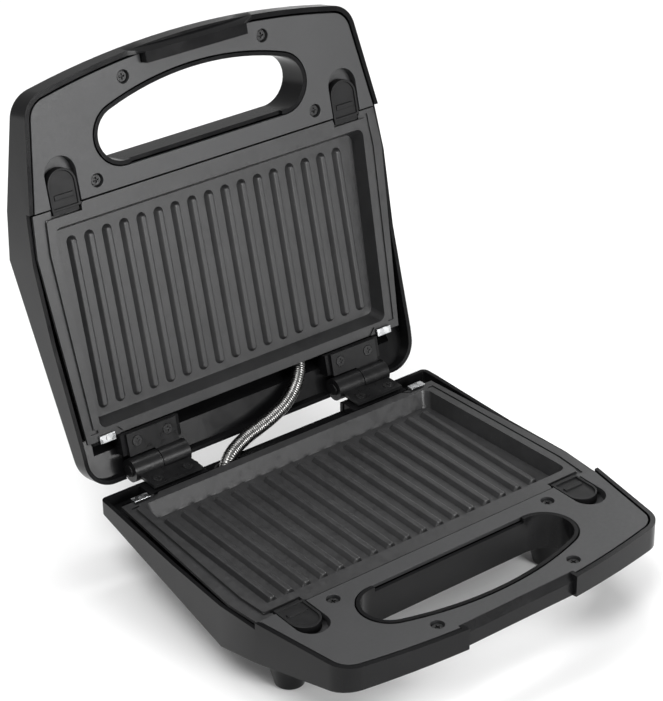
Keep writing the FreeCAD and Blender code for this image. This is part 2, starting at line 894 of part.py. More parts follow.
def base_duct(name, inset):
    """The wiring space behind the base's plate, moved inward by inset."""
    half = f"duct_half - ({inset})"
    return box(
        name,
        (f"-({half})", half),
        ("-duct_front", f"-duct_rear_front - ({inset})"),
        (f"duct_top + ({inset})", f"duct_depth - ({inset})"),
    )


def shell(half):
    """The outer shell of one half, finished."""
    is_base = half == "base"
    total = "shoulder_depth + open_above"
    outline = outline_body(f"{half}_outline", half, "0", "0", total)
    profile = across(f"{half}_profile", side_profile(half), "3 * shoulder_half")
    slab = common(f"{half}_slab", [outline, profile])
    outside_parts = [slab, belly(f"{half}_belly", half, "0")]
    inner_total = f"{total} + open_above"
    inner_outline = outline_body(f"{half}_hollow_outline", half, "shell_wall", "-open_above", inner_total)
    inner_profile = across(f"{half}_hollow_profile", cavity_profile(), "3 * shoulder_half")
    hollow = common(f"{half}_hollow", [inner_outline, inner_profile])
    inside_parts = [hollow, belly(f"{half}_belly_hollow", half, "shell_wall")]
    if is_base:
        outside_parts.append(base_duct("base_duct", "0"))
        inside_parts.append(base_duct("base_duct_hollow", "shell_wall"))
    outside = fuse(f"{half}_outside", outside_parts)
    walls = cut(f"{half}_walls", outside, inside_parts)

    tube_blank = handle_prism(f"{half}_handle_tube", "hole_gap", "panel_rim_depth", "shoulder_depth")
    tube_wall = common(f"{half}_handle_wall", [tube_blank, outside])
    solids = [walls, tube_wall, shell_posts(half, outside), hinge_blocks(half, outside)]
    if is_base:
        solids.append(base_shelf(outside))
    else:
        solids += [lid_shelf(), lid_lip()]
    blank = fuse(f"{half}_shell_blank", solids)
    tools = shell_holes(half) + hinge_room(half)
    tools += base_openings() if is_base else lid_openings()
    finished = cut(f"{half}_shell_cut", blank, tools)
    if is_base:
        finished = base_underside(base_front_notch(finished, outside))
    node(f"{half}_shell", finished, half)


def base_shelf(outside):
    """The shelf over the wiring duct, where the conduit comes up."""
    shelf = box(
        "base_shelf",
        ("-open_rear_half", "open_rear_half"),
        ("-open_rear_front", "-base_rear_front - shell_wall"),
        ("duct_top", "duct_top + shell_wall"),
    )
    return common("base_shelf_in", [shelf, outside])


def lid_shelf():
    """The small shelf inside the lid that the conduit goes through."""
    return box(
        "lid_shelf",
        ("conduit_lid_x - lid_shelf_half", "conduit_lid_x + lid_shelf_half"),
        ("-lid_shelf_front", "-lid_shelf_rear_front"),
        ("lid_shelf_depth", "lid_shelf_depth + lid_shelf_thick"),
    )


def shell_holes(half):
    """What is cut for the handle and the panel screws."""
    hole = handle_prism(f"{half}_handle_hole", "hole_gap + hole_collar", "-open_above", "2 * shoulder_depth")
    step = box(
        f"{half}_collar_step",
        ("-collar_step_half", "collar_step_half"),
        ("-hole_rear - hole_gap - hole_collar - latch_play", "-hole_rear"),
        ("-open_above", "collar_step_depth"),
    )
    pilots = [
        cylinder(f"{half}_pilot{i}", "screw_shank", "screw_length", x, y, "screw_seat_depth")
        for i, (x, y) in enumerate(screw_places())
    ]
    return [hole, step, *pilots]


def hinge_room(half):
    """What is cut round the hinge barrels and for the hinge screws."""
    tools = []
    for side, sign in SIDES.items():
        middle = f"{sign} * hinge_half"
        start = f"{middle} - knuckle_long - pin_head_long - barrel_room"
        length = "2 * (knuckle_long + pin_head_long + barrel_room)"
        radius = "knuckle_radius + barrel_room"
        tools.append(cylinder(f"{half}_barrel_room_{side}", radius, length, start, turn=ALONG_X))
        for i, offset in enumerate(("-", "+")):
            x = f"{middle} {offset} hinge_screw_half"
            name = f"{half}_hinge_pilot_{side}{i}"
            tools.append(cylinder(name, "screw_shank", "screw_length", x, "-hinge_screw_front", "leaf_depth"))
    return tools


def base_openings():
    """The open rear, the conduit's hole and the mains cord's hole."""
    rear = box(
        "base_open_rear",
        ("-open_rear_half", "open_rear_half"),
        ("-open_rear_front", "profile_back"),
        ("-open_above", "duct_top"),
    )
    x, y = "conduit_base_x", "-conduit_base_front"
    way = cylinder("base_grommet_hole", GROMMET_OUTER, "duct_top", x, y, "duct_top / 2")
    start = "-duct_rear_front - gland_inner"
    gland = cylinder(
        "base_gland_hole", "gland_radius", "2 * gland_inner", "-gland_x", start, "gland_depth", ALONG_Y
    )
    return [rear, way, gland]


def lid_openings():
    """The conduit's hole and the two lamp holes."""
    start = "lid_shelf_depth - lid_shelf_thick"
    x, y = "conduit_lid_x", "-conduit_lid_front"
    tools = [cylinder("lid_grommet_hole", GROMMET_OUTER, "3 * lid_shelf_thick", x, y, start)]
    for side, sign in SIDES.items():
        place = (f"{sign} * lamp_half", "-lamp_front", "lamp_inner")
        tools.append(cylinder(f"lid_lamp_hole_{side}", "lamp_radius", "shoulder_depth", *place))
    return tools


# ---------------------------------------------------------------- front panels


def panel_outline(body, half):
    """The flat plate of the panel, in the half's own outline."""
    outline = sketch_on(body, f"{half}_panel_outline", "XY_Plane", "panel_depth")
    right = [
        ("corner_half - panel_inset", "panel_inset - corner_front"),
        ("waist_half - panel_inset", "-panel_rear"),
    ]
    left = [(f"-({x})", y) for x, y in reversed(right)]
    left[-1] = (*left[-1], "front_arc - panel_inset")
    polygon(outline, right + left)
    extrude(body, outline, "panel_thick")
    round_edges(body, "corner_round - panel_inset", stands_beyond("panel_rear + corner_round"))


def either_side(middle, wide):
    """Bounds in x of something centred on middle and reaching wide each way."""
    return (f"{middle} - ({wide})", f"{middle} + ({wide})")


def tray_blocks(body, half, side, middle):
    """The blocks under the panel that each latch's tray and spring groove are cut in."""
    block = sketch_on(body, f"{half}_tray_{side}", "XY_Plane", "panel_depth + panel_thick")
    front = "latch_tip + latch_travel + latch_gap + tray_wall"
    sides = either_side(middle, "latch_wide + latch_gap + tray_wall")
    rectangle(block, sides, (f"-({front})", "-panel_rear"))
    extrude(body, block, "tray_floor + tray_thick - panel_depth - panel_thick")
    keel = sketch_on(body, f"{half}_keel_{side}", "XY_Plane", "tray_floor + tray_thick")
    sides = either_side(middle, "spring_groove + tray_thick")
    rectangle(keel, sides, ("-spring_groove_front - tray_thick", "-panel_rear"))
    extrude(body, keel, "spring_groove_bottom - tray_floor")


def tray_pockets(body, half, side, middle):
    """The latch's recess, the rails' undercut and the spring's groove."""
    recess = sketch_on(body, f"{half}_recess_{side}", "XY_Plane", "panel_depth")
    tip = "latch_tip + latch_travel + latch_gap"
    arch(recess, middle, "latch_wide + latch_gap", "panel_rear - latch_gap", tip)
    extrude(body, recess, "tray_floor - panel_depth", kind="Pocket", backward=True)
    rails = sketch_on(body, f"{half}_rails_{side}", "XY_Plane", "latch_rail_top - latch_play")
    front = "latch_tip - latch_wide + latch_travel"
    sides = either_side(middle, "latch_wide + latch_rail + latch_play")
    rectangle(rails, sides, (f"-({front})", "latch_gap - panel_rear"))
    extrude(body, rails, "tray_floor - latch_rail_top + latch_play", kind="Pocket", backward=True)
    groove = sketch_on(body, f"{half}_groove_{side}", "XY_Plane", "tray_floor")
    sides = either_side(middle, "spring_groove")
    rectangle(groove, sides, ("-spring_groove_front", "-panel_rear - tray_thick / 2"))
    extrude(body, groove, "spring_groove_bottom - tray_floor", kind="Pocket", backward=True)


def panel_setback(body, half):
    """The panel's front edge is set back behind the base's notch or the lid's lip."""
    setback = sketch_on(body, f"{half}_panel_setback", "XY_Plane", "panel_depth")
    wide = "notch_half + shell_wall + latch_play" if half == "base" else "lip_half + latch_play"
    rectangle(setback, either_side("0", wide), ("-profile_front", f"-{half}_panel_setback"))
    extrude(body, setback, "panel_thick", kind="Pocket", backward=True)


def screw_bores(body, half):
    """A wide bore for each panel screw's head and a narrow one for its shank."""
    for i, (x, y) in enumerate(screw_places()):
        bore = sketch_on(body, f"{half}_screw_bore{i}", "XY_Plane", "panel_depth")
        circle(bore, x, y, "screw_head + screw_bore_room")
        extrude(body, bore, "screw_seat_depth - panel_depth", kind="Pocket", backward=True)
        hole = sketch_on(body, f"{half}_screw_hole{i}", "XY_Plane", "screw_seat_depth")
        circle(hole, x, y, "screw_shank + screw_play")
        extrude(body, hole, "screw_boss_depth", kind="Pocket", backward=True)


def panel(half):
    """The front panel with its handle opening, latch trays and screw recesses."""
    body = add("PartDesign::Body", f"{half}_panel")
    panel_outline(body, half)
    for side, sign in SIDES.items():
        tray_blocks(body, half, side, f"{sign} * latch_half")
    for i, (x, y) in enumerate(screw_places()):
        boss = sketch_on(body, f"{half}_screw_boss{i}", "XY_Plane", "panel_depth + panel_thick")
        circle(boss, x, y, "screw_boss")
        extrude(body, boss, "screw_boss_depth - panel_depth - panel_thick")
    for side, sign in SIDES.items():
        tray_pockets(body, half, side, f"{sign} * latch_half")
    opening = sketch_on(body, f"{half}_panel_opening", "XY_Plane", "panel_depth")
    handle_outline(opening, "0")
    extrude(body, opening, "screw_boss_depth", kind="Pocket", backward=True)
    panel_setback(body, half)
    screw_bores(body, half)
    node(f"{half}_front_panel", body, half)


def circle(sketch, x, y, radius):
    """A full circle about (x, y)."""
    sketch.addGeometry(Part.Circle(V(value(x), value(y), 0), DEEP, value(radius)))
    hold_point(sketch, 0, 3, x, y)
    hold(sketch, "Radius", 0, size=radius)
    return sketch


# ---------------------------------------------------------------- grill plates


def mirrored(right):
    """The full outline of a symmetric piece, from its right-hand corners listed front to back."""
    return right + [(f"-({x})", y) for x, y in reversed(right)]


def grill_plate(half):
    """The cast plate: flange, raised rim, tapered well, ribs and latch notches."""
    body = add("PartDesign::Body", f"{half}_plate")
    plate_edge(body, half)
    loft(body, f"{half}_tub", "Additive", "plate_wall")
    round_edges(body, "well_round + plate_wall", is_tall)
    loft(body, f"{half}_well", "Subtractive", "0")
    round_edges(body, "well_round", lambda edge: is_tall(edge) and edge.BoundBox.ZMin < value("flange_depth"))
    groove = sketch_on(body, f"{half}_groove", "XY_Plane", "flange_depth")
    polygon(groove, mirrored(rim_corners("0")))
    polygon(groove, mirrored(rim_corners("-groove_wide")))
    extrude(body, groove, "groove_deep", kind="Pocket", backward=True)
    plate_ribs(body, half)
    for side, sign in SIDES.items():
        latch_ledge(body, half, side, either_side(f"{sign} * latch_half", "ledge_half"))
    node(f"{half}_grill_plate", body, half)


def plate_edge(body, half):
    """The raised rim, and the thin flange outside it that rests on the carrier."""
    rim = sketch_on(body, f"{half}_rim", "XY_Plane", "plate_top")
    polygon(rim, mirrored(rim_corners("0")))
    extrude(body, rim, f"{PLATE_SEAT} - plate_top")
    round_edges(body, "rim_round", stands)
    flange = sketch_on(body, f"{half}_flange", "XY_Plane", "flange_depth")
    corners = [
        ("flange_front_half", "-plate_front"),
        ("flange_shoulder_half", "-flange_shoulder_front"),
        ("flange_rear_half", "-plate_rear_front"),
    ]
    polygon(flange, mirrored(corners))
    extrude(body, flange, "flange_thick")


def plate_ribs(body, half):
    """The row of round-ended ribs on the well's floor."""
    rib = sketch_on(body, f"{half}_rib", "XY_Plane", "well_depth")
    slot(rib, "-rib_pitch * (rib_count - 1) / 2", "rib_half", "rib_rear_front", "rib_front")
    first = extrude(body, rib, "rib_high", draft="-rib_draft", backward=True)
    row = body.newObject("PartDesign::LinearPattern", f"{half}_ribs")
    row.Originals = [first]
    row.Direction = (rib, ["H_Axis"])
    bind(row, "Length", "rib_pitch * (rib_count - 1)")
    bind(row, "Occurrences", "rib_count")
    body.Tip = row
    round_edges(body, "rib_round", lies_at("well_depth - rib_high"))


def latch_ledge(body, half, side, sides):
    """The notch in the rim at one latch, and the lower ledge that the latch's nose holds."""
    notch = sketch_on(body, f"{half}_notch_{side}", "XY_Plane", "plate_top")
    rectangle(notch, sides, ("-plate_front", "-ledge_rear"))
    extrude(body, notch, f"{PLATE_SEAT} - plate_top", kind="Pocket", backward=True)
    ledge = sketch_on(body, f"{half}_ledge_{side}", "XY_Plane", "ledge_depth")
    rectangle(ledge, sides, ("latch_play - latch_rear", "-well_front - plate_wall / 2"))
    extrude(body, ledge, "ledge_thick")
    root = sketch_on(body, f"{half}_ledge_root_{side}", "XY_Plane", "flange_depth")
    rectangle(root, sides, ("-ledge_rear", "-well_front - plate_wall / 2"))
    extrude(body, root, "ledge_depth + ledge_thick - flange_depth")


def rim_corners(inset):
    """Right-hand corners of the raised rim, moved inward by inset. It steps back at the latch and tab."""
    step = f"latch_half - ledge_half - ({inset})"
    return [
        (step, f"({inset}) - plate_front"),
        (step, f"({inset}) - ledge_rear"),
        (f"rim_front_half - ({inset})", f"({inset}) - ledge_rear"),
        (f"rim_shoulder_half - ({inset})", "-flange_shoulder_front"),
        (f"rim_rear_half - ({inset})", f"-tab_notch_front - ({inset})"),
        (f"tab_notch_slope - ({inset}) / 2", f"-tab_notch_front - ({inset})"),
        (f"tab_notch_inner - ({inset}) / 2", f"-rim_rear_front - ({inset})"),
    ]


def level_corners(level, wall):
    """Right-hand corners of the well at its mouth or its floor, moved outward by wall."""
    return [
        (f"{level}_front_half + ({wall})", f"-{level}_front - ({wall})"),
        (f"{level}_rear_half + ({wall})", f"({wall}) - {level}_rear_front"),
    ]


def loft(body, name, kind, wall):
    """Adds or removes the well's tapered form, from its mouth to its floor, grown by wall."""
    levels = []
    for level, depth in (("well", "plate_top"), ("floor", f"well_depth + {wall}")):
        outline = sketch_on(body, f"{name}_{level}", "XY_Plane", depth)
        polygon(outline, mirrored(level_corners(level, wall)))
        outline.Visibility = False
        levels.append(outline)
    before = body.Shape.Volume
    step = body.newObject(f"PartDesign::{kind}Loft", f"{name}_loft")
    step.Profile = levels[0]
    step.Sections = levels[1:]
    body.Tip = step
    doc.recompute()
    if (body.Shape.Volume > before) != (kind == "Additive"):
        raise RuntimeError(f"{step.Name} went the wrong way")


def is_tall(edge):
    """True for the well's slanting corner edges, which are longer than the rim is deep."""
    return edge.BoundBox.ZLength > value("well_depth") / 2 and edge.BoundBox.YLength < value("well_depth")


# ---------------------------------------------------------------- latches


def latch(half, side, label_side):
    """One release latch with its return spring."""
    middle = f"{SIDES[side]} * latch_half"
    body = add("PartDesign::Body", f"{half}_latch_{side}")
    button = sketch_on(body, f"{half}_button_{side}", "XY_Plane", "latch_top")
    arch(button, middle, "latch_wide", "latch_rear", "latch_tip")
    floor = "tray_floor - latch_play"
    extrude(body, button, f"{floor} - latch_top")
    dish = sketch_on(body, f"{half}_dish_{side}", "XY_Plane", "latch_top")
    arch(dish, middle, "latch_wide - latch_rim", "latch_rear + latch_rim", "latch_tip - latch_rim")
    extrude(body, dish, "latch_dish", kind="Pocket", backward=True)
    grip = sketch_on(body, f"{half}_grip_{side}", "XY_Plane", "latch_top + latch_dish")
    rectangle(
        grip,
        (f"{middle} - latch_grip_wide", f"{middle} + latch_grip_wide"),
        ("-latch_grip_front - latch_grip_long", "-latch_grip_front"),
    )
    extrude(body, grip, "latch_grip_high", backward=True)
    rails = sketch_on(body, f"{half}_rail_{side}", "XY_Plane", "latch_rail_top")
    wide = "latch_wide + latch_rail"
    rectangle(
        rails,
        (f"{middle} - ({wide})", f"{middle} + ({wide})"),
        ("latch_wide + latch_play - latch_tip", "-panel_rear - latch_gap"),
    )
    extrude(body, rails, f"{floor} - latch_rail_top")
    nose = sketch_on(body, f"{half}_nose_{side}", "XY_Plane", "latch_nose_top")
    rectangle(
        nose,
        (f"{middle} - latch_nose_wide", f"{middle} + latch_nose_wide"),
        ("-latch_rear", "-latch_nose_reach"),
    )
    extrude(body, nose, "latch_nose_bottom - latch_nose_top")
    peg = sketch_on(body, f"{half}_peg_{side}", "XY_Plane", floor)
    peg_half = "spring_groove - latch_play"
    rectangle(
        peg,
        (f"{middle} - ({peg_half})", f"{middle} + ({peg_half})"),
        ("-peg_front - peg_long", "-peg_front"),
    )
    extrude(body, peg, f"spring_groove_bottom - latch_play - ({floor})")
    node(f"{half}_latch_{label_side}", body, half)
    latch_spring(half, side, label_side, middle)


def latch_spring(half, side, label_side, middle):
    """The compression spring between the latch's peg and the front end of its groove."""
    radius, wire = value("spring_coil"), value("spring_wire")
    near = value("peg_front + peg_long")
    length = value("spring_groove_front") - near - 2 * wire
    turns = value("spring_turns")
    path = Part.makeHelix(length / turns, length, radius)
    start = V(radius, 0, 0)
    ring = Part.Wire(Part.makeCircle(wire, start, ALONG))
    coil = Part.Wire(path.Edges).makePipeShell([ring], True, True)
    middle_depth = (value("tray_floor") + value("spring_groove_bottom")) / 2
    start = V(value(middle), -near - wire, middle_depth)
    coil.Placement = FreeCAD.Placement(start, FreeCAD.Rotation(ACROSS, 90))
    spring = group(f"{half}_spring_{side}", [feature(f"{half}_coil_{side}", coil)])
    node(f"{half}_latch_spring_{label_side}", spring, half)


# ---------------------------------------------------------------- hinges and screws


def hinge_leaf(half, side, label_side):
    """One hinge leaf: a flat plate with one knuckle and two screw holes. All four are alike."""
    middle = f"{SIDES[side]} * hinge_half"
    name = f"{half}_leaf_{side}"
    plate = box(
        f"{name}_plate",
        (f"{middle} - leaf_half", f"{middle} + leaf_half"),
        ("-leaf_front", LEAF_REAR),
        ("leaf_depth", "leaf_depth + leaf_thick"),
    )
    neck = box(
        f"{name}_neck",
        (f"{middle} + hinge_gap", f"{middle} + leaf_half"),
        (LEAF_REAR, "0"),
        ("leaf_depth", "leaf_depth + leaf_thick"),
    )
    knuckle = cylinder(
        f"{name}_knuckle", "knuckle_radius", "knuckle_long - hinge_gap", f"{middle} + hinge_gap", turn=ALONG_X
    )
    play = "pin_radius" if half == "base" else "pin_radius + pin_play"
    bore = cylinder(f"{name}_bore", play, "knuckle_long", f"{middle} + hinge_gap", turn=ALONG_X)
    tools = [bore]
    for i, offset in enumerate(("-", "+")):
        x = f"{middle} {offset} hinge_screw_half"
        hole = "screw_shank + screw_play"
        tools.append(cylinder(f"{name}_hole{i}", hole, "2 * leaf_thick", x, "-hinge_screw_front", "0"))
        tools.append(
            cylinder(
                f"{name}_sink{i}",
                "screw_head + latch_play",
                "leaf_thick / 2",
                x,
                "-hinge_screw_front",
                "leaf_depth - hinge_screw_sink",
            )
        )
    leaf = cut(f"{name}_cut", fuse(f"{name}_blank", [plate, neck, knuckle]), tools)
    node(f"{half}_hinge_leaf_{label_side}", leaf, half)


def hinge_pin(side, label_side):
    """A headed pin, pressed in the base leaf's knuckle and free in the lid leaf's."""
    middle = f"{SIDES[side]} * hinge_half"
    name = f"pin_{side}"
    start = f"{middle} - knuckle_long - pin_play"
    shank = cylinder(f"{name}_shank", "pin_radius", "2 * (knuckle_long + pin_play)", start, turn=ALONG_X)
    heads = [
        cylinder(f"{name}_head{i}", "pin_head", "pin_head_long", x, turn=ALONG_X)
        for i, x in enumerate((f"{start} - pin_head_long", f"{middle} + knuckle_long + pin_play"))
    ]
    node(f"hinge_pin_{label_side}", fuse(f"{name}_all", [shank, *heads]), "base")


def screw(name, x, y, seat, length, head_high):
    """A pan head screw with a cross recess; its head rests at depth seat."""
    head = cylinder(f"{name}_head", "screw_head", head_high, x, y, f"{seat} - ({head_high})")
    shank = cylinder(f"{name}_shank", "screw_shank", length, x, y, seat)
    top = f"{seat} - ({head_high})"
    slots = []
    for i, (dx, dy) in enumerate((("cross_reach", "cross_slot / 2"), ("cross_slot / 2", "cross_reach"))):
        slots.append(
            box(
                f"{name}_slot{i}",
                (f"{x} - {dx}", f"{x} + {dx}"),
                (f"{y} - {dy}", f"{y} + {dy}"),
                (top, f"{top} + cross_deep * ({head_high}) / screw_head_high"),
            )
        )
    return cut(f"{name}_cut", fuse(f"{name}_blank", [head, shank]), slots)


def screws(half):
    """The panel screws and the hinge screws of one half, each kind one node."""
    panel_screws = [
        screw(f"{half}_panel_screw{i}", x, y, "screw_seat_depth", "screw_length", "screw_head_high")
        for i, (x, y) in enumerate(screw_places())
    ]
    node(f"{half}_panel_screws", group(f"{half}_panel_screw_set", panel_screws), half)
    seat = "leaf_depth - hinge_screw_sink + leaf_thick / 2"
    hinge_screws = [
        screw(
            f"{half}_hinge_screw_{side}{i}",
            f"{sign} * hinge_half {offset} hinge_screw_half",
            "-hinge_screw_front",
            seat,
            "screw_length - leaf_thick",
            f"{seat} - leaf_depth + hinge_screw_sink",
        )
        for side, sign in SIDES.items()
        for i, offset in enumerate(("-", "+"))
    ]
    node(f"{half}_hinge_screws", group(f"{half}_hinge_screw_set", hinge_screws), half)


# ---------------------------------------------------------------- under the plates


def carrier(half):
    """The two steel side arms that the plate's flange rests on."""
    corners = [
        ("well_front_half + plate_wall + latch_play", "-flange_shoulder_front"),
        ("flange_shoulder_half - carrier_inset", "-flange_shoulder_front"),
        ("flange_rear_half - carrier_inset", "-tab_notch_front"),
        ("well_rear_half + plate_wall + latch_play", "-tab_notch_front"),
    ]
    arms = []
    for side, sign in SIDES.items():
        outline = [(f"{sign} * ({x})", y) for x, y in corners]
        name = f"{half}_carrier_{side}"
        arms.append(prism(name, lambda sketch: polygon(sketch, outline), PLATE_SEAT, "carrier_thick"))
    node(f"{half}_plate_carrier", group(f"{half}_carrier_set", arms), half)


def plate_tabs(half):
    """Bent steel tabs that hook the plate's rear corners."""
    tabs = []
    for side, sign in SIDES.items():
        middle = f"{sign} * tab_half"
        sides = (f"{middle} - tab_wide", f"{middle} + tab_wide")
        depth = ("tab_top", "tab_top + tab_thick")
        tongue = box(f"{half}_tab_{side}", sides, ("-tab_front", "-tab_rear_front"), depth)
        leg = box(
            f"{half}_tab_leg_{side}",
            sides,
            ("-tab_rear_front - tab_thick", "-tab_rear_front"),
            ("tab_top", "tab_seat_depth"),
        )
        tabs.append(fuse(f"{half}_tab_all_{side}", [tongue, leg]))
    node(f"{half}_plate_tabs", group(f"{half}_tab_set", tabs), half)


def heater(half):
    """The tubular heating element: an open loop whose two ends turn in toward the middle."""
    depth = value(f"{UNDER_WELL} + heater_gap + heater_radius")
    wide, leg = value("heater_half"), value("heater_leg_half")
    front, rear, end = (value(key) for key in ("heater_front", "heater_rear_front", "heater_leg_front"))
    spots = [(-leg, -end), (-leg, -rear), (-wide, -rear), (-wide, -front)]
    spots += [(-x, y) for x, y in reversed(spots)]
    points = [V(x, y, depth) for x, y in spots]
    bar, radii, length = tube(points, value("heater_radius"), lambda a, b, turn: value("heater_bend"))
    element = group(f"{half}_heater_set", [feature(f"{half}_heater_bar", bar)])
    node(f"{half}_heating_element", element, half)


def reflector(half):
    """The thin tray that throws the element's heat back to the plate."""
    x = ("-reflector_half", "reflector_half")
    y = ("-reflector_front", "-reflector_rear_front")
    depth = (f"{REFLECTOR_TOP} - reflector_rim", f"{REFLECTOR_TOP} + reflector_thick")
    tray = box(f"{half}_tray", x, y, depth)
    thick = "reflector_thick"
    hollow = box(
        f"{half}_tray_hollow",
        (f"{x[0]} + {thick}", f"{x[1]} - {thick}"),
        (f"{y[0]} + {thick}", f"{y[1]} - {thick}"),
        ("0", REFLECTOR_TOP),
    )
    room = "thermostat_radius + latch_gap"
    x, y = "thermostat_half", "-thermostat_front"
    window = cylinder(f"{half}_tray_window", room, "shoulder_depth", x, y, "well_depth")
    node(f"{half}_reflector", cut(f"{half}_reflector_cut", tray, [hollow, window]), half)


def thermostat(half):
    """The disc thermostat pressed against the underside of the plate's well."""
    x, y = "thermostat_half", "-thermostat_front"
    high = "thermostat_high"
    can = cylinder(f"{half}_thermostat_can", "thermostat_radius", high, x, y, UNDER_WELL)
    neck_start = f"{UNDER_WELL} + {high}"
    neck = cylinder(f"{half}_thermostat_neck", "thermostat_radius / 2", high, x, y, neck_start)
    node(f"{half}_thermostat", fuse(f"{half}_thermostat_all", [can, neck]), half)


# ---------------------------------------------------------------- wiring


def base_wiring():
    """The thermal fuse, the terminal block and the mains cord's gland."""
    under = f"{REFLECTOR_TOP} + reflector_thick"
    fuse_body = cylinder(
        "fuse_body", "fuse_radius", "fuse_long", "thermostat_half / 2", "-thermostat_front",
        f"{under} + fuse_radius", ALONG_X,
    )
    node("thermal_fuse", group("fuse_set", [fuse_body]), "base")
    block = box(
        "terminal_blank",
        ("-block_long / 2", "block_long / 2"),
        ("-block_front", "block_wide - block_front"),
        ("base_belly_depth - shell_wall - block_high", "base_belly_depth - shell_wall"),
    )
    ways = [
        cylinder(
            f"terminal_way{i}", "fuse_radius", "block_wide", f"{i} * block_long / 3", "-block_front",
            "base_belly_depth - shell_wall - block_high / 2", ALONG_Y,
        )
        for i in (-1, 0, 1)
    ]
    node("terminal_block", cut("terminal_cut", block, ways), "base")

    start = "-duct_rear_front - gland_inner"
    x, depth = "-gland_x", "gland_depth"
    stem = cylinder("gland_stem", "gland_radius", "gland_inner + gland_outer", x, start, depth, ALONG_Y)
    rear = "-duct_rear_front"
    collar = cylinder("gland_collar_ring", "gland_collar", "gland_collar_long", x, rear, depth, ALONG_Y)
    bore = cylinder("gland_way", "gland_bore", "gland_inner + gland_outer", x, start, depth, ALONG_Y)
    node("cord_gland", cut("gland_cut", fuse("gland_blank", [stem, collar]), [bore]), "base")


def grommet(half, x, y, top, thick):
    """A ring that lines the conduit's hole in one half, with a flange on each side of the wall."""
    sleeve = cylinder(f"{half}_sleeve", GROMMET_OUTER, thick, x, y, top)
    wide = f"{GROMMET_OUTER} + grommet_over"
    flanges = [
        cylinder(f"{half}_grommet_flange{i}", wide, "grommet_flange", x, y, start)
        for i, start in enumerate((f"{top} - grommet_flange", f"{top} + {thick}"))
    ]
    way = cylinder(
        f"{half}_grommet_way",
        "conduit_radius + grommet_room",
        f"{thick} + 2 * grommet_flange",
        x,
        y,
        f"{top} - grommet_flange",
    )
    blank = fuse(f"{half}_grommet_all", [sleeve, *flanges])
    node(f"{half}_conduit_grommet", cut(f"{half}_grommet_cut", blank, [way]), half)


def from_hinge(x, y, z):
    """A point given from the middle of the hinge axis, in the press's frame."""
    return V(x, y + value("frame_shift"), z + value("hinge_height"))


def from_lid(x, y, depth):
    """A point given in the lid's half frame, in the press's frame."""
    turned = FreeCAD.Rotation(ACROSS, -value("open_angle")).multVec(V(x, y, depth))
    return from_hinge(turned.x, turned.y, turned.z)


def conduit():
    """The coil-wound steel conduit: up out of the base, over the lid's rear rim and into the lid."""
    base_x, base_y = -value("conduit_base_x"), -value("conduit_base_front")
    lid_x, lid_y = value("conduit_lid_x"), -value("conduit_lid_front")
    points = [
        from_hinge(base_x, base_y, -value("conduit_base_start")),
        from_hinge(base_x, base_y, -value("conduit_base_turn")),
        *(from_hinge(*place) for place in CONDUIT_OVER_HINGE),
        from_lid(*CONDUIT_OVER_LID_RIM),
        from_lid(lid_x, lid_y, value("conduit_lid_turn")),
        from_lid(lid_x, lid_y, value("conduit_lid_end")),
    ]
    share = value("conduit_bend_share")
    bar, radii, length = tube(
        points, value("conduit_radius"), lambda a, b, half_turn: share * min(a, b) / math.tan(half_turn)
    )
    print("conduit bend radii", [round(r, 1) for r in radii], "length", round(length, 1))
    obj = feature("conduit_bar", bar)
    obj.Label = "conduit"
    nodes.append(obj)


# ---------------------------------------------------------------- build


def foot_pads():
    pads = [
        cylinder(f"pad_{name}", "pad_radius", "pad_thick", x, y, "hinge_height - pad_thick")
        for name, x, y, root, top in leg_places()
    ]
    node("foot_pads", group("pad_set", pads), "base")


def lamps():
    long = "lamp_outer - lamp_inner"
    lenses = [
        cylinder(f"lamp_{side}", "lamp_radius", long, f"{sign} * lamp_half", "-lamp_front", "lamp_inner")
        for side, sign in SIDES.items()
    ]
    node("lid_indicator_lenses", group("lamp_set", lenses), "lid")


def opposite(side):
    """Turning the base's frame over swaps its sides."""
    return "left" if side == "right" else "right"


for half in HALVES:
    shell(half)
    panel(half)
    grill_plate(half)
    for side in SIDES:
        label_side = side if half == "lid" else opposite(side)
        latch(half, side, label_side)
        hinge_leaf(half, side, label_side)
    screws(half)
    carrier(half)
    plate_tabs(half)
    heater(half)
    reflector(half)
    thermostat(half)
for side in SIDES:
    hinge_pin(side, opposite(side))
base_wiring()
grommet("base", "conduit_base_x", "-conduit_base_front", "duct_top", "shell_wall")
grommet("lid", "conduit_lid_x", "-conduit_lid_front", "lid_shelf_depth", "lid_shelf_thick")
foot_pads()
lamps()
conduit()
doc.recompute()

for obj in doc.Objects:
    if "Invalid" in obj.State or "Error" in obj.State:
        raise RuntimeError(f"{obj.Name} failed: {obj.State}")
for obj in nodes:
    if obj.Shape.isNull() or not obj.Shape.isValid():
        raise RuntimeError(f"{obj.Label} has no valid shape")

os.makedirs("parts", exist_ok=True)
for obj in nodes:
    obj.Shape.exportStep(f"parts/{obj.Label}.step")
everything = FreeCAD.BoundBox()
for obj in nodes:
    everything.add(obj.Shape.BoundBox)
print(len(nodes), "nodes", everything)
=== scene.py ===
import json
import math

import bmesh
import bpy
from mathutils import Matrix, Vector


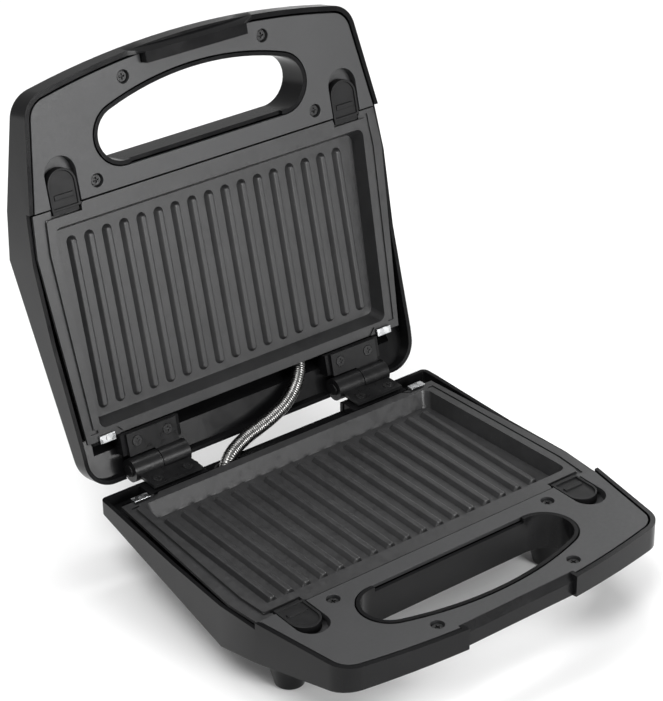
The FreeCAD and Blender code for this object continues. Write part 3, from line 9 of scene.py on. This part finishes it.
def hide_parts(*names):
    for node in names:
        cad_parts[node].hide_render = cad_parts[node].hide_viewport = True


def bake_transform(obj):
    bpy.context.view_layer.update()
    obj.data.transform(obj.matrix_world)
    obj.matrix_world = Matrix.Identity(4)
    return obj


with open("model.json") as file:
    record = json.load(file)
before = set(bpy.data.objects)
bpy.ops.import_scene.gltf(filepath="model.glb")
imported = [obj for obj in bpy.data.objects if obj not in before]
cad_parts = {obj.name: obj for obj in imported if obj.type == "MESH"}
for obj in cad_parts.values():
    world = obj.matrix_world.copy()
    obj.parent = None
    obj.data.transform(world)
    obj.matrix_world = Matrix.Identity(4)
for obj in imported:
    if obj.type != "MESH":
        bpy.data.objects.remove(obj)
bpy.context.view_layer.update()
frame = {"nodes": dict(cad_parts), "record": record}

NODES = frame["nodes"]
HINGE = Vector((0.0, 0.0876, 0.064))
OPEN_ANGLE = math.radians(103.4)


# ---------------------------------------------------------------- materials


class Shader:
    """A small builder for one node material that works in the object's own coordinates, in metres."""

    def __init__(self, name, metallic=0.0, specular=0.5, coat=0.0, coat_roughness=0.1):
        self.material = bpy.data.materials.new(name)
        self.material.use_nodes = True
        self.tree = self.material.node_tree
        self.surface = self.tree.nodes["Principled BSDF"]
        self.surface.inputs["Metallic"].default_value = metallic
        self.surface.inputs["Specular IOR Level"].default_value = specular
        self.surface.inputs["Coat Weight"].default_value = coat
        self.surface.inputs["Coat Roughness"].default_value = coat_roughness
        self.place = self.tree.nodes.new("ShaderNodeTexCoord").outputs["Object"]
        self.height = None

    def link(self, output, node_input):
        self.tree.links.new(output, node_input)

    def stretched(self, scale):
        """Coordinates scaled differently along each axis, for brushed or streaked marks."""
        mapping = self.tree.nodes.new("ShaderNodeMapping")
        mapping.inputs["Scale"].default_value = scale
        self.link(self.place, mapping.inputs["Vector"])
        return mapping.outputs["Vector"]

    def noise(self, scale, detail=3.0, roughness=0.55, place=None):
        node = self.tree.nodes.new("ShaderNodeTexNoise")
        node.inputs["Scale"].default_value = scale
        node.inputs["Detail"].default_value = detail
        node.inputs["Roughness"].default_value = roughness
        self.link(place or self.place, node.inputs["Vector"])
        return node.outputs["Fac"]

    def cells(self, scale, output="Distance"):
        node = self.tree.nodes.new("ShaderNodeTexVoronoi")
        node.inputs["Scale"].default_value = scale
        self.link(self.place, node.inputs["Vector"])
        return node.outputs[output]

    def edges(self):
        """About a half on flat faces, more on ridges and less in grooves."""
        return self.tree.nodes.new("ShaderNodeNewGeometry").outputs["Pointiness"]

    def ramp(self, source, stops):
        """Maps a value to colours or greys; stops are (position, colour or grey)."""
        node = self.tree.nodes.new("ShaderNodeValToRGB")
        elements = node.color_ramp.elements
        while len(elements) < len(stops):
            elements.new(0.5)
        for element, (position, colour) in zip(elements, stops):
            element.position = position
            shade = colour if isinstance(colour, tuple) else (colour, colour, colour)
            element.color = (*shade, 1.0)
        self.link(source, node.inputs["Fac"])
        return node.outputs["Color"]

    def mix(self, factor, first, second, blend="MIX"):
        """Blends two colours; factor is a socket or a number."""
        node = self.tree.nodes.new("ShaderNodeMix")
        node.data_type = "RGBA"
        node.blend_type = blend
        if isinstance(factor, float):
            node.inputs["Factor"].default_value = factor
        else:
            self.link(factor, node.inputs["Factor"])
        self.link(first, node.inputs["A"])
        self.link(second, node.inputs["B"])
        return node.outputs["Result"]

    def colour(self, output):
        self.link(output, self.surface.inputs["Base Color"])

    def roughness(self, source, low, high):
        self.link(self.ramp(source, [(0.3, low), (0.7, high)]), self.surface.inputs["Roughness"])

    def bump(self, source, strength, distance):
        """Adds one layer of relief on top of the layers before it."""
        node = self.tree.nodes.new("ShaderNodeBump")
        node.inputs["Strength"].default_value = strength
        node.inputs["Distance"].default_value = distance
        self.link(source, node.inputs["Height"])
        if self.height is not None:
            self.link(self.height, node.inputs["Normal"])
        self.height = node.outputs["Normal"]
        self.link(self.height, self.surface.inputs["Normal"])


def gloss_shell():
    """Polished black plastic with a faint ripple, hazier patches and fine rub marks."""
    s = Shader("gloss_black_plastic", specular=0.15)
    s.colour(s.ramp(s.noise(35.0), [(0.3, (0.0042, 0.0042, 0.0045)), (0.75, (0.0070, 0.0070, 0.0074))]))
    s.roughness(s.noise(60.0, detail=5.0), 0.15, 0.25)
    s.bump(s.noise(220.0, detail=1.0), 0.05, 0.0004)
    s.bump(s.noise(900.0, place=s.stretched((1.0, 0.12, 0.6))), 0.035, 0.0001)
    return s.material


def satin_panel():
    """Dark grey plastic with an etched satin grain."""
    s = Shader("satin_grey_plastic", specular=0.5)
    tone = s.ramp(s.noise(28.0), [(0.3, (0.0225, 0.0228, 0.0238)), (0.75, (0.0275, 0.0278, 0.0290))])
    grain = s.ramp(s.noise(2600.0, detail=2.0), [(0.35, 0.78), (0.65, 1.0)])
    s.colour(s.mix(1.0, tone, grain, blend="MULTIPLY"))
    s.roughness(s.noise(420.0, detail=4.0), 0.40, 0.50)
    s.bump(s.noise(2200.0, detail=2.0), 0.22, 0.00012)
    return s.material


def coated_plate():
    """Cast aluminium under a dark non-stick coating: fine pale flecks and a slightly pebbled skin."""
    s = Shader("nonstick_coating", specular=0.5)
    dark, light_grey = (0.0155, 0.0155, 0.0160), (0.0225, 0.0225, 0.0232)
    body = s.ramp(s.noise(40.0, detail=5.0), [(0.3, dark), (0.7, light_grey)])
    fleck_at = s.ramp(s.cells(1150.0), [(0.10, 1.0), (0.22, 0.0)])
    sparse = s.ramp(s.noise(700.0, detail=1.0), [(0.50, 0.0), (0.60, 1.0)])
    flecks = s.mix(1.0, fleck_at, sparse, blend="MULTIPLY")
    pale = s.ramp(s.noise(300.0), [(0.0, (0.050, 0.050, 0.052)), (1.0, (0.085, 0.085, 0.088))])
    s.colour(s.mix(flecks, body, pale))
    s.roughness(s.noise(240.0, detail=5.0), 0.30, 0.44)
    s.bump(s.noise(330.0, detail=3.0), 0.16, 0.0003)
    s.bump(s.noise(1500.0, detail=2.0), 0.16, 0.00012)
    return s.material


def matte_latch():
    """Matte black plastic with a fine moulded texture and fingertip-polished patches."""
    s = Shader("matte_black_plastic", specular=0.2)
    deep, pale = (0.0036, 0.0036, 0.0039), (0.0064, 0.0064, 0.0068)
    s.colour(s.ramp(s.noise(90.0), [(0.3, deep), (0.7, pale)]))
    s.roughness(s.noise(150.0, detail=4.0), 0.36, 0.52)
    s.bump(s.noise(1900.0, detail=2.0), 0.2, 0.0001)
    return s.material


def painted_hinge():
    """Pressed steel with a satin black paint that thins and brightens in rubbed patches."""
    s = Shader("satin_black_paint", specular=0.25)
    paint = s.ramp(s.noise(120.0), [(0.3, (0.0050, 0.0050, 0.0053)), (0.7, (0.0085, 0.0085, 0.0089))])
    rubbed = s.ramp(s.noise(420.0, detail=6.0, roughness=0.7), [(0.66, 0.0), (0.74, 1.0)])
    bare = s.ramp(s.noise(600.0), [(0.0, (0.05, 0.05, 0.05)), (1.0, (0.09, 0.09, 0.09))])
    s.colour(s.mix(rubbed, paint, bare))
    s.roughness(s.noise(180.0, detail=4.0), 0.26, 0.40)
    s.bump(s.noise(800.0, detail=2.0), 0.18, 0.00015)
    return s.material


def black_screw():
    """Black oxide steel with small worn specks."""
    s = Shader("black_oxide_steel", metallic=0.6, specular=0.5)
    oxide = s.ramp(s.noise(500.0), [(0.3, (0.016, 0.016, 0.016)), (0.7, (0.030, 0.030, 0.031))])
    worn = s.ramp(s.noise(1600.0, detail=4.0), [(0.62, 0.0), (0.72, 1.0)])
    bright = s.ramp(s.noise(900.0), [(0.0, (0.10, 0.10, 0.10)), (1.0, (0.17, 0.17, 0.17))])
    s.colour(s.mix(worn, oxide, bright))
    s.roughness(s.noise(700.0, detail=3.0), 0.28, 0.42)
    s.bump(s.noise(1500.0), 0.12, 0.0001)
    return s.material


def galvanised():
    """Zinc-coated sheet with spangled crystals of differing sheen."""
    s = Shader("galvanised_steel", metallic=1.0)
    crystal = s.cells(420.0, output="Color")
    spangle = s.ramp(crystal, [(0.1, (0.50, 0.51, 0.52)), (0.9, (0.72, 0.73, 0.74))])
    dulled = s.ramp(s.noise(160.0, detail=5.0), [(0.35, 0.72), (0.7, 1.0)])
    s.colour(s.mix(1.0, spangle, dulled, blend="MULTIPLY"))
    s.roughness(crystal, 0.22, 0.40)
    s.bump(s.noise(900.0, place=s.stretched((0.15, 1.0, 1.0))), 0.08, 0.0001)
    return s.material


def aluminised():
    """Thin aluminised sheet with rolling marks and heat bloom."""
    s = Shader("aluminised_sheet", metallic=1.0)
    bloom = s.ramp(s.noise(45.0, detail=5.0), [(0.3, (0.55, 0.53, 0.49)), (0.7, (0.70, 0.70, 0.69))])
    s.colour(bloom)
    s.roughness(s.noise(300.0, place=s.stretched((0.1, 1.0, 1.0))), 0.30, 0.46)
    s.bump(s.noise(1400.0, place=s.stretched((0.08, 1.0, 1.0))), 0.1, 0.0001)
    return s.material


def heated_tube():
    """Steel sheath that has been through heat: straw and grey-blue tints in bands."""
    s = Shader("heat_tinted_steel", metallic=1.0)
    straw, steel, blue = (0.16, 0.13, 0.10), (0.24, 0.23, 0.22), (0.13, 0.14, 0.17)
    s.colour(s.ramp(s.noise(30.0, detail=3.0), [(0.25, straw), (0.5, steel), (0.75, blue)]))
    s.roughness(s.noise(500.0, detail=4.0), 0.38, 0.55)
    s.bump(s.noise(1300.0), 0.12, 0.0001)
    return s.material


def bright_coil():
    """Bright steel strip with darker, duller patches where handling has left a film."""
    s = Shader("bright_steel_coil", metallic=1.0)
    film = s.ramp(s.noise(260.0, detail=5.0), [(0.3, (0.38, 0.37, 0.36)), (0.65, (0.66, 0.65, 0.63))])
    s.colour(film)
    s.roughness(s.noise(500.0, detail=3.0), 0.20, 0.36)
    s.bump(s.noise(2400.0), 0.06, 0.0001)
    return s.material


def wound_coil():
    """Bright wound strip with painted shade darkening the sunken grooves between its turns."""
    s = Shader("wound_steel_strip", metallic=1.0)
    strip = s.ramp(s.noise(260.0, detail=5.0), [(0.3, (0.17, 0.17, 0.165)), (0.65, (0.30, 0.295, 0.29))])
    # painted shade: the sunken grooves between the turns are darkened by how hollow they are, standing in
    # for shadow
    painted_groove_shade = s.ramp(s.edges(), [(0.44, 0.10), (0.52, 1.0)])
    s.colour(s.mix(1.0, strip, painted_groove_shade, blend="MULTIPLY"))
    s.roughness(s.noise(500.0, detail=3.0), 0.20, 0.34)
    s.bump(s.noise(2400.0), 0.06, 0.0001)
    return s.material


def black_rubber(name, grain):
    """Moulded rubber with a dull bloom."""
    s = Shader(name, specular=0.3)
    s.colour(s.ramp(s.noise(grain / 10), [(0.3, (0.0090, 0.0090, 0.0092)), (0.7, (0.0180, 0.0178, 0.0175))]))
    s.roughness(s.noise(grain / 3, detail=4.0), 0.62, 0.82)
    s.bump(s.noise(grain, detail=3.0), 0.25, 0.00015)
    return s.material


def pale_insulator():
    """Off-white moulded insulator with slight yellowing."""
    s = Shader("pale_insulator", specular=0.45)
    s.colour(s.ramp(s.noise(150.0, detail=4.0), [(0.3, (0.58, 0.55, 0.47)), (0.7, (0.70, 0.68, 0.61))]))
    s.roughness(s.noise(300.0), 0.42, 0.56)
    s.bump(s.noise(1200.0), 0.1, 0.0001)
    return s.material


def coloured_lens():
    """Glossy tinted plastic with the fine facets of a light diffuser."""
    s = Shader("tinted_lens", specular=0.5, coat=0.6, coat_roughness=0.05)
    s.colour(s.ramp(s.noise(300.0), [(0.3, (0.26, 0.012, 0.010)), (0.7, (0.42, 0.030, 0.022))]))
    s.roughness(s.noise(400.0), 0.14, 0.24)
    s.bump(s.cells(1500.0), 0.3, 0.0002)
    return s.material


SLOT_MATERIALS = {
    "shell": gloss_shell(),
    "panel": satin_panel(),
    "plate": coated_plate(),
    "latch": matte_latch(),
    "hinge": painted_hinge(),
    "pin": painted_hinge(),
    "screw": black_screw(),
    "galvanised": galvanised(),
    "aluminised": aluminised(),
    "element": heated_tube(),
    "spring": bright_coil(),
    "conduit": wound_coil(),
    "grommet": black_rubber("grommet_rubber", 1500.0),
    "pad": black_rubber("pad_rubber", 2200.0),
    "terminal": pale_insulator(),
    "lens": coloured_lens(),
}

WELD_DISTANCE = 1e-6
FLAT_ANGLE = math.radians(1.0)
SHARP_ANGLE = math.radians(32.0)
BEVEL_STEPS = 3
NORMAL_WEIGHT = 80

# Edge radius in metres that softens each kind of piece.
EDGE_RADIUS = {
    "shell": 0.0007,
    "panel": 0.00045,
    "plate": 0.0009,
    "latch": 0.0006,
    "hinge": 0.0003,
    "pin": 0.0004,
    "screw": 0.0002,
    "galvanised": 0.0003,
    "pad": 0.0004,
    "grommet": 0.0003,
    "lens": 0.0006,
}


def soften(obj, radius):
    """Joins the imported triangles into flat faces and rounds the sharp edges between them."""
    weld = obj.modifiers.new("weld", "WELD")
    weld.merge_threshold = WELD_DISTANCE
    flat = obj.modifiers.new("flat_faces", "DECIMATE")
    flat.decimate_type = "DISSOLVE"
    flat.angle_limit = FLAT_ANGLE
    bevel = obj.modifiers.new("rounded_edges", "BEVEL")
    bevel.width = radius
    bevel.segments = BEVEL_STEPS
    bevel.limit_method = "ANGLE"
    bevel.angle_limit = SHARP_ANGLE
    bevel.use_clamp_overlap = True
    bevel.harden_normals = False
    for face in obj.data.polygons:
        face.use_smooth = True
    smooth = obj.modifiers.new("even_normals", "WEIGHTED_NORMAL")
    smooth.keep_sharp = True
    smooth.weight = NORMAL_WEIGHT


slots = {part["node"]: part["material_slot"] for part in frame["record"]["subparts"]}
for name, obj in NODES.items():
    kind = slots[name]
    for place in obj.material_slots:
        place.material = SLOT_MATERIALS[kind]
    if kind in EDGE_RADIUS:
        soften(obj, EDGE_RADIUS[kind])


# ---------------------------------------------------------------- conduit


def in_lid(x, y, depth):
    """A point of the open lid, given from the hinge axis with the lid shut and its depth into the lid."""
    turned = Matrix.Rotation(-OPEN_ANGLE, 3, "X") @ Vector((x, y, depth))
    return HINGE + turned


CONDUIT_ROUTE = [
    HINGE + Vector((-0.042, -0.0188, -0.020)),
    HINGE + Vector((-0.042, -0.0188, -0.007)),
    HINGE + Vector((-0.020, -0.0080, -0.0036)),
    HINGE + Vector((0.002, -0.0046, -0.0006)),
    HINGE + Vector((0.024, 0.0012, 0.0046)),
    in_lid(0.040, -0.0165, 0.0080),
    in_lid(0.046, -0.0274, 0.0165),
    in_lid(0.046, -0.0274, 0.0260),
]
CONDUIT_RADIUS = 0.0045
COIL_PITCH = 0.0016
COIL_DEEP = 0.0003
RINGS_PER_TURN = 10
SIDES_AROUND = 28
LINE_SMOOTHNESS = 24


def route_points(name, control):
    """Points along the smooth NURBS line that the control points make."""
    curve = bpy.data.curves.new(name, "CURVE")
    curve.dimensions = "3D"
    curve.resolution_u = LINE_SMOOTHNESS
    spline = curve.splines.new("NURBS")
    spline.points.add(len(control) - 1)
    for point, spot in zip(spline.points, control):
        point.co = (*spot, 1.0)
    spline.order_u = 3
    spline.use_endpoint_u = True
    holder = bpy.data.objects.new(name, curve)
    mesh = bpy.data.meshes.new_from_object(holder)
    points = [vertex.co.copy() for vertex in mesh.vertices]
    bpy.data.objects.remove(holder)
    return points


def evenly(points, step):
    """The same line cut into equal steps."""
    spots = [points[0]]
    left = step
    for start, end in zip(points, points[1:]):
        run = (end - start).length
        travelled = 0.0
        while run - travelled >= left:
            travelled += left
            spots.append(start.lerp(end, travelled / run))
            left = step
        left -= run - travelled
    return spots


def coil_tube(name, spots):
    """A tube of wound strip: its skin rises and falls once for each turn of the winding."""
    mesh = bmesh.new()
    side = (spots[1] - spots[0]).orthogonal().normalized()
    rings = []
    for index, spot in enumerate(spots):
        ahead = spots[min(index + 1, len(spots) - 1)]
        behind = spots[max(index - 1, 0)]
        along = (ahead - behind).normalized()
        side = (side - along * side.dot(along)).normalized()
        other = along.cross(side)
        ring = []
        for k in range(SIDES_AROUND):
            angle = 2 * math.pi * k / SIDES_AROUND
            winding = math.pi * (index / RINGS_PER_TURN + k / SIDES_AROUND)
            radius = CONDUIT_RADIUS - COIL_DEEP * (1 - abs(math.sin(winding))) ** 2
            ring.append(mesh.verts.new(spot + (side * math.cos(angle) + other * math.sin(angle)) * radius))
        rings.append(ring)
    for first, second in zip(rings, rings[1:]):
        for k in range(SIDES_AROUND):
            after = (k + 1) % SIDES_AROUND
            mesh.faces.new((first[k], first[after], second[after], second[k]))
    mesh.faces.new(list(reversed(rings[0])))
    mesh.faces.new(rings[-1])
    bmesh.ops.recalc_face_normals(mesh, faces=mesh.faces)
    data = bpy.data.meshes.new(name)
    mesh.to_mesh(data)
    mesh.free()
    for face in data.polygons:
        face.use_smooth = True
    obj = bpy.data.objects.new(name, data)
    bpy.context.scene.collection.objects.link(obj)
    return obj


line = route_points("conduit_line", CONDUIT_ROUTE)
spots = evenly(line, COIL_PITCH / RINGS_PER_TURN)
coil = coil_tube("conduit_coil", spots)
coil.data.materials.append(SLOT_MATERIALS["conduit"])
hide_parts("conduit")
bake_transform(coil)


# ---------------------------------------------------------------- studio


MIDDLE = (0.0, 0.05, 0.12)
# Soft boxes: where each stands, its width and height, and its power in watts
SOFT_BOXES = {
    "front": ((0.5, -2.3, 0.8), (1.2, 0.8), 56.0),
    "key": ((-1.1, -0.7, 2.0), (0.9, 0.9), 32.0),
    "overhead": ((0.2, 0.7, 2.1), (1.8, 0.7), 26.0),
    "back_right": ((1.8, 1.1, 1.0), (0.5, 1.4), 7.0),
    "side_left": ((-2.0, 0.5, 0.5), (0.4, 1.2), 7.0),
}
ROOM_LIGHT = 0.32
ROOM_SEEN = 1.0
FLOOR_HALF = 6.0

CAMERA_TARGET = Vector((0.08908, 0.12944, 0.064))
CAMERA_AZIMUTH = math.radians(-37.34)
CAMERA_ELEVATION = math.radians(29.28)
CAMERA_ROLL = math.radians(-0.76)
CAMERA_DISTANCE = 1.59646
CAMERA_SENSOR = 36.0
CAMERA_LENS = 123.13


def light(name, place, size, power):
    """A soft box that faces the middle of the press."""
    data = bpy.data.lights.new(name, "AREA")
    data.shape = "RECTANGLE"
    data.size, data.size_y = size
    data.energy = power
    obj = bpy.data.objects.new(name, data)
    obj.location = place
    obj.rotation_euler = (Vector(MIDDLE) - Vector(place)).to_track_quat("-Z", "Y").to_euler()
    bpy.context.scene.collection.objects.link(obj)


def floor():
    mesh = bpy.data.meshes.new("floor")
    half = FLOOR_HALF
    corners = [(-half, -half, 0.0), (half, -half, 0.0), (half, half, 0.0), (-half, half, 0.0)]
    mesh.from_pydata(corners, [], [(0, 1, 2, 3)])
    obj = bpy.data.objects.new("floor", mesh)
    bpy.context.scene.collection.objects.link(obj)
    s = Shader("pale_floor", specular=0.1)
    s.colour(s.ramp(s.noise(3.0), [(0.0, (0.86, 0.86, 0.86)), (1.0, (0.88, 0.88, 0.88))]))
    s.surface.inputs["Roughness"].default_value = 0.9
    mesh.materials.append(s.material)


def studio():
    """Soft boxes round the press, and a room that is white to the camera but dim to the press."""
    for name, (place, size, power) in SOFT_BOXES.items():
        light(name, place, size, power)
    world = bpy.data.worlds.new("studio")
    world.use_nodes = True
    tree = world.node_tree
    background = tree.nodes["Background"]
    seen = tree.nodes.new("ShaderNodeLightPath").outputs["Is Camera Ray"]
    strength = tree.nodes.new("ShaderNodeMapRange")
    strength.inputs["To Min"].default_value = ROOM_LIGHT
    strength.inputs["To Max"].default_value = ROOM_SEEN
    tree.links.new(seen, strength.inputs["Value"])
    tree.links.new(strength.outputs["Result"], background.inputs["Strength"])
    background.inputs["Color"].default_value = (1.0, 1.0, 1.0, 1.0)
    bpy.context.scene.world = world
    bpy.context.scene.view_settings.view_transform = "Standard"


def camera():
    """The camera stands at the front left, a little above, with a long lens."""
    azimuth, elevation = CAMERA_AZIMUTH, CAMERA_ELEVATION
    looks = Vector(
        (
            -math.sin(azimuth) * math.cos(elevation),
            math.cos(azimuth) * math.cos(elevation),
            -math.sin(elevation),
        )
    )
    data = bpy.data.cameras.new("camera")
    data.sensor_fit = "VERTICAL"
    data.sensor_height = CAMERA_SENSOR
    data.lens = CAMERA_LENS
    obj = bpy.data.objects.new("camera", data)
    turn = looks.to_track_quat("-Z", "Y").to_matrix() @ Matrix.Rotation(CAMERA_ROLL, 3, "Z")
    obj.matrix_world = Matrix.Translation(CAMERA_TARGET - looks * CAMERA_DISTANCE) @ turn.to_4x4()
    bpy.context.scene.collection.objects.link(obj)
    bpy.context.scene.camera = obj


floor()
studio()
camera()
